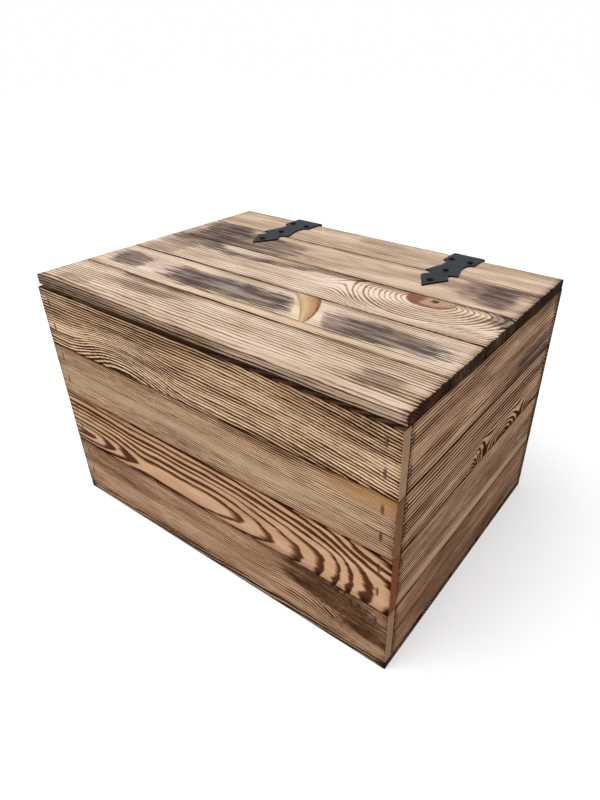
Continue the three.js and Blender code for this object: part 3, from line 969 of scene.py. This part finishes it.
# Painted shade: the cut sides of the sheet, which face left and right, are darkened nearly to
# black, as they would fall in shade
facing = node(tree, "TexCoord").node.outputs["Normal"]
painted_side_shade = node(tree, "VectorMath", (facing, (1, 0, 0)), operation="DOT_PRODUCT")
painted_side_shade = node(tree, "Math", (painted_side_shade,), operation="ABSOLUTE")
painted_side_shade = node(tree, "MapRange", (painted_side_shade, 0.2, 0.6, 0, 1))
tint = {0: painted_side_shade, 6: tint, 7: colour(COAT_SHADED_SIDE)}
skin = {
    "Base Color": node(tree, "Mix", tint, data_type="RGBA"),
    "Roughness": 0.6,
    "Specular IOR Level": 0.16,
    "Normal": node(tree, "Bump", {"Height": grit, "Distance": GRIT_DEPTH * MM, "Strength": 0.6}),
}
node(tree, "OutputMaterial", {"Surface": node(tree, "BsdfPrincipled", skin)})


def stamped(name, cad_node, body):
    """A hinge leaf or pin from its CAD node, its sharp edges rounded by tumbling and paint."""
    form = bmesh.new()
    form.from_mesh(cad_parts[cad_node].data)
    bmesh.ops.remove_doubles(form, verts=form.verts, dist=0.001 * MM)
    flat = math.radians(FLAT_WITHIN)
    bmesh.ops.dissolve_limit(form, angle_limit=flat, verts=form.verts, edges=form.edges)
    corner = math.radians(SHARP_OVER)
    sharp = [e for e in form.edges if e.is_manifold and e.calc_face_angle() > corner]
    bmesh.ops.bevel(
        form,
        geom=sharp,
        offset=ROUNDED * MM,
        segments=2,
        profile=0.5,
        affect="EDGES",
        clamp_overlap=True,
        material=-1,
    )
    placed(name, form, coat, body, [cad_node])


for side in ("left", "right"):
    stamped(f"lid_strap_{side}", f"hinge_lid_leaf_{side}", "lid")
    stamped(f"box_strap_{side}", f"hinge_box_leaf_{side}", "box")
    stamped(f"hinge_rod_{side}", f"hinge_pin_{side}", "box")

# ---------------------------------------------------------------- Screws
# Black pan-head screws, four to a leaf, driven by a cross recess. Phosphated steel is nearly
# black, with a dull shine on the dome.

SCREW_HEAD = 7.8
SCREW_RISE = 2.2
SCREW_RIM = 0.8
SCREW_DOME = ((0.47, 0.62), (0.38, 0.84), (0.22, 0.97))  # out and up, of the head and its rise
SCREW_STEPS = 24
SCREW_SHANK = 3.0
SCREW_LENGTH = 11
RECESS_WIDTH = 0.9
RECESS_REACH = 2.1
RECESS_FLOOR = 0.35  # of the head's rise, below the recess
WING_TIP = 0.35  # of a wing's reach, at its lower end
BLOTCH = 2  # mm across a blotch of the phosphate
PHOSPHATE, PHOSPHATE_GREY = "#050608", "#0c0d10"

black = new_material("phosphated steel, black")
tree = black.node_tree
place = node(tree, "TexCoord").node.outputs["Object"]
blotch = node(tree, "TexNoise", {"Vector": place, "Scale": 1 / (BLOTCH * MM), "Detail": 3.0})
blotch = node(tree, "MapRange", (blotch, *NOISE_SPREAD, 0, 1))
tint = {0: blotch, 6: colour(PHOSPHATE), 7: colour(PHOSPHATE_GREY)}
tint = node(tree, "Mix", tint, data_type="RGBA")
skin = {"Base Color": tint, "Roughness": 0.5, "Specular IOR Level": 0.08}
node(tree, "OutputMaterial", {"Surface": node(tree, "BsdfPrincipled", skin)})


def screw_form():
    """A pan head on its pointed shank about z, with its underside at z = 0, in mm."""
    form = bmesh.new()
    outline = [
        (0, -SCREW_LENGTH),
        (SCREW_SHANK / 2, SCREW_SHANK - SCREW_LENGTH),
        (SCREW_SHANK / 2, 0),
        (SCREW_HEAD / 2, 0),
        (SCREW_HEAD / 2, SCREW_RIM),
        *((SCREW_HEAD * out, SCREW_RISE * up) for out, up in SCREW_DOME),
        (0, SCREW_RISE),
    ]
    verts = [form.verts.new((x, 0, z)) for x, z in outline]
    edges = [form.edges.new(pair) for pair in zip(verts, verts[1:])]
    bmesh.ops.spin(
        form,
        geom=verts + edges,
        cent=(0, 0, 0),
        axis=(0, 0, 1),
        angle=math.tau,
        steps=SCREW_STEPS,
        use_merge=True,
    )
    bmesh.ops.remove_doubles(form, verts=form.verts, dist=0.001)
    bmesh.ops.recalc_face_normals(form, faces=form.faces)
    return form


def cross_form():
    """The two tapering wings of the driver's tip, which leave the recess."""
    form = bmesh.new()
    for turn in (0, math.pi / 2):
        wing = bmesh.ops.create_cube(form, size=1)["verts"]
        bmesh.ops.scale(form, vec=(2 * RECESS_REACH, RECESS_WIDTH, 2 * SCREW_RISE), verts=wing)
        for vert in wing:
            if vert.co.z < 0:
                vert.co.x *= WING_TIP
        bmesh.ops.translate(form, vec=(0, 0, SCREW_RISE * (1 + RECESS_FLOOR)), verts=wing)
        bmesh.ops.rotate(form, cent=(0, 0, 0), matrix=Matrix.Rotation(turn, 3, "Z"), verts=wing)
    return form


def solid_object(form):
    """A bare object for the cut of the recess, which is removed again."""
    mesh = bpy.data.meshes.new("shape")
    form.to_mesh(mesh)
    form.free()
    made = bpy.data.objects.new("shape", mesh)
    bpy.context.scene.collection.objects.link(made)
    return made


blank = solid_object(screw_form())
driver = solid_object(cross_form())
cut = blank.modifiers.new("recess", "BOOLEAN")
cut.operation = "DIFFERENCE"
cut.solver = "EXACT"
cut.use_self = True
cut.object = driver
graph = bpy.context.evaluated_depsgraph_get()
screw_mesh = bpy.data.meshes.new_from_object(blank.evaluated_get(graph))
bpy.data.objects.remove(blank)
bpy.data.objects.remove(driver)

LEAVES = (("lid_leaf", "lid", Vector((0, 0, 1))), ("box_leaf", "box", Vector((0, 1, 0))))
for leaf, body, outward in LEAVES:
    lean = outward.to_track_quat("Z", "Y").to_matrix().to_4x4()
    for side in ("left", "right"):
        form = bmesh.new()
        cad_nodes = [f"{leaf}_screw_{side}_{number}" for number in range(1, 5)]
        for cad_node in cad_nodes:
            low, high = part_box(cad_node)
            seat = (low + high) / 2
            top = outward.dot(high) - SCREW_RISE * MM
            seat += outward * (top - outward.dot(seat))
            before = set(form.verts)
            form.from_mesh(screw_mesh)
            new = [vert for vert in form.verts if vert not in before]
            spun = Matrix.Rotation(dice.uniform(0, math.tau), 4, "Z")
            turned = Matrix.Translation(seat) @ lean @ spun @ Matrix.Scale(MM, 4)
            bmesh.ops.transform(form, matrix=turned, verts=new)
        placed(f"{leaf}_{side}_screws", form, black, body, cad_nodes)

# ---------------------------------------------------------------- Floor, light and camera
# A plain white studio floor that keeps a soft shadow, an even pale sky, and one broad key
# light from above the front left. The camera stands where the photograph was taken.

FLOOR_SIZE = 12  # m
FLOOR_DROP = 0.4  # mm, to clear the crowns of the bottom staples
SKY_LEVEL = 0.55
KEY_LEVEL = 0.68
KEY_FROM = (-0.35, -0.4, 0.85)
KEY_SPREAD = 50  # degrees, which makes the shadow soft
FLOOR_GLOW = 0.5
FLOOR_GREY = "#cccccc"

form = bmesh.new()
bmesh.ops.create_grid(form, x_segments=1, y_segments=1, size=FLOOR_SIZE / 2)
bmesh.ops.translate(form, vec=(0, 0, -FLOOR_DROP * MM), verts=form.verts)
mesh = bpy.data.meshes.new("floor")
form.to_mesh(mesh)
form.free()
floor = bpy.data.objects.new("floor", mesh)
bpy.context.scene.collection.objects.link(floor)

studio = new_material("white studio floor")
tree = studio.node_tree
# Only the camera and reflections see the floor glow, so it lights nothing
rays = node(tree, "LightPath").node.outputs
seen = node(tree, "Math", (rays["Is Camera Ray"], rays["Is Glossy Ray"]), operation="MAXIMUM")
seen = node(tree, "Math", (seen, FLOOR_GLOW), operation="MULTIPLY")
glow = node(tree, "Emission", {"Color": (1, 1, 1, 1), "Strength": seen})
matt = node(tree, "BsdfDiffuse", {"Color": colour(FLOOR_GREY)})
node(tree, "OutputMaterial", {"Surface": node(tree, "AddShader", (matt, glow))})
mesh.materials.append(studio)

sky = bpy.data.worlds.new("studio sky")
bpy.context.scene.world = sky
sky.use_nodes = True
tree = sky.node_tree
tree.nodes.clear()
rays = node(tree, "LightPath").node.outputs
seen = node(tree, "Math", (rays["Is Camera Ray"], rays["Is Glossy Ray"]), operation="MAXIMUM")
seen = node(tree, "Math", (seen, rays["Is Transmission Ray"]), operation="MAXIMUM")
level = node(tree, "MapRange", (seen, 0, 1, SKY_LEVEL, 1))
air = node(tree, "Background", {"Color": (1, 1, 1, 1), "Strength": level})
node(tree, "OutputWorld", {"Surface": air})

key = bpy.data.lights.new("key", "SUN")
key.energy = KEY_LEVEL * math.pi
key.angle = math.radians(KEY_SPREAD)
lamp = bpy.data.objects.new("key", key)
lamp.rotation_mode = "QUATERNION"
lamp.rotation_quaternion = Vector(KEY_FROM).to_track_quat("Z", "Y")
bpy.context.scene.collection.objects.link(lamp)

CAMERA_AT = (424.92, -519.09, 564.36)
CAMERA_AZIMUTH = 35.183
CAMERA_DOWN = 32.719
CAMERA_ROLL = 0.825
FOCAL_PIXELS = 591.2
IMAGE_HEIGHT = 800
AXIS_PIXEL = (341.6, 407.9)
IMAGE_MIDDLE = (300, 400)

camera = bpy.data.cameras.new("camera")
camera.sensor_width = 36
camera.lens = camera.sensor_width * FOCAL_PIXELS / IMAGE_HEIGHT
camera.shift_x = (IMAGE_MIDDLE[0] - AXIS_PIXEL[0]) / IMAGE_HEIGHT
camera.shift_y = (AXIS_PIXEL[1] - IMAGE_MIDDLE[1]) / IMAGE_HEIGHT
camera.clip_start = 0.01
viewer = bpy.data.objects.new("camera", camera)
bpy.context.scene.collection.objects.link(viewer)
aim = Euler((math.radians(90 - CAMERA_DOWN), 0, math.radians(CAMERA_AZIMUTH))).to_matrix().to_4x4()
roll = Matrix.Rotation(math.radians(CAMERA_ROLL), 4, "Z")
viewer.matrix_world = Matrix.Translation(Vector(CAMERA_AT) * MM) @ aim @ roll
bpy.context.scene.camera = viewer
bpy.context.scene.view_settings.view_transform = "Standard"
